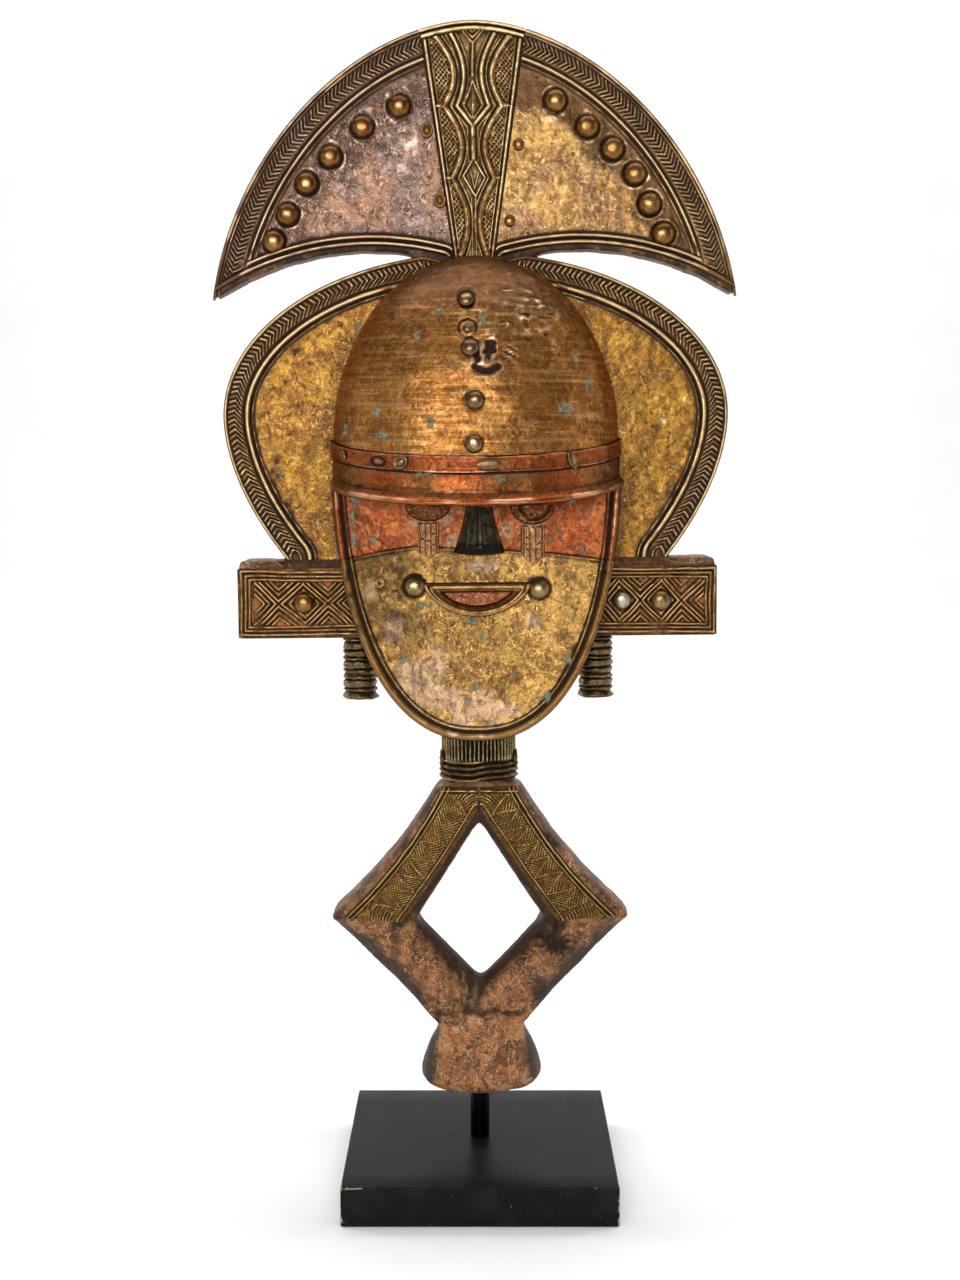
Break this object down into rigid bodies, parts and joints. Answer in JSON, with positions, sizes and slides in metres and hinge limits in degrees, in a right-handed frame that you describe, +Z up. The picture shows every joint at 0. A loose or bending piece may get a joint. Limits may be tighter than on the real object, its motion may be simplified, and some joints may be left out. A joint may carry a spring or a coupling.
{
  "type": "kota reliquary figure",
  "caption": "Upright guardian figure with a crescent crest, side wings, domed brow and dished face over an open lozenge body, on a rod in a square base.",
  "frame": {"origin": "middle of the base's underside, on the axis of the rod", "axes": "+Z up along the figure, the face looks towards -Y, +X to the viewer's right"},
  "size_m": [0.2475, 0.13, 0.5592],
  "materials": {
    "black_paint": "satin black paint on wood, worn at the edges",
    "black_steel": "black painted steel",
    "old_wood": "dark reddish brown wood, waxed by handling",
    "grey_copper": "hammered copper sheet with grey-brown patina",
    "tan_brass": "hammered brass sheet with tan patina",
    "yellow_brass": "hammered yellow brass sheet with green spots",
    "brown_brass": "brushed brown brass sheet",
    "dark_brass": "chased brass with dark recesses",
    "red_copper": "red copper sheet, worn",
    "black_iron": "dark streaked metal"
  },
  "bodies": {
    "root": {"base": "black_paint", "mount_rod": "black_steel", "wooden_core": "old_wood", "crest_sheet_left": "grey_copper", "crest_sheet_right": "tan_brass", "crest_centre_strip": "dark_brass", "wing_sheet_left": "yellow_brass", "wing_sheet_right": "yellow_brass", "forehead_sheet": "brown_brass", "brow_band_upper": "red_copper", "brow_band_lower": "red_copper", "cheek_sheet_left": "red_copper", "cheek_sheet_right": "red_copper", "face_sheet": "yellow_brass", "nose": "black_iron", "eye_left": "dark_brass", "eye_right": "dark_brass", "tear_strip_left": "yellow_brass", "tear_strip_right": "yellow_brass", "mouth_lips": "dark_brass", "mouth_inset": "red_copper", "neck_wrap": "dark_brass", "neck_binding": "dark_brass", "shoulder_sheet_left": "yellow_brass", "shoulder_sheet_right": "yellow_brass", "ear_plate_left": "dark_brass", "ear_plate_right": "dark_brass", "ear_coil_left": "dark_brass", "ear_coil_right": "dark_brass", "crest_stud_left_1": "dark_brass", "crest_stud_left_2": "dark_brass", "crest_stud_left_3": "dark_brass", "crest_stud_left_4": "dark_brass", "crest_stud_left_5": "dark_brass", "crest_stud_left_6": "dark_brass", "crest_rivet_left_1": "dark_brass", "crest_rivet_left_2": "dark_brass", "mouth_stud_left": "dark_brass", "crest_stud_right_1": "dark_brass", "crest_stud_right_2": "dark_brass", "crest_stud_right_3": "dark_brass", "crest_stud_right_4": "dark_brass", "crest_stud_right_5": "dark_brass", "crest_stud_right_6": "dark_brass", "crest_rivet_right_1": "dark_brass", "crest_rivet_right_2": "dark_brass", "mouth_stud_right": "dark_brass", "forehead_stud_1": "dark_brass", "forehead_stud_2": "dark_brass", "forehead_stud_3": "dark_brass", "forehead_stud_4": "dark_brass", "forehead_stud_5": "dark_brass", "band_clip_1": "dark_brass", "band_clip_2": "dark_brass", "band_clip_3": "dark_brass", "band_clip_4": "dark_brass", "ear_stud_1": "dark_brass", "ear_stud_2": "dark_brass", "ear_stud_3": "dark_brass"}
  },
  "joints": []
}
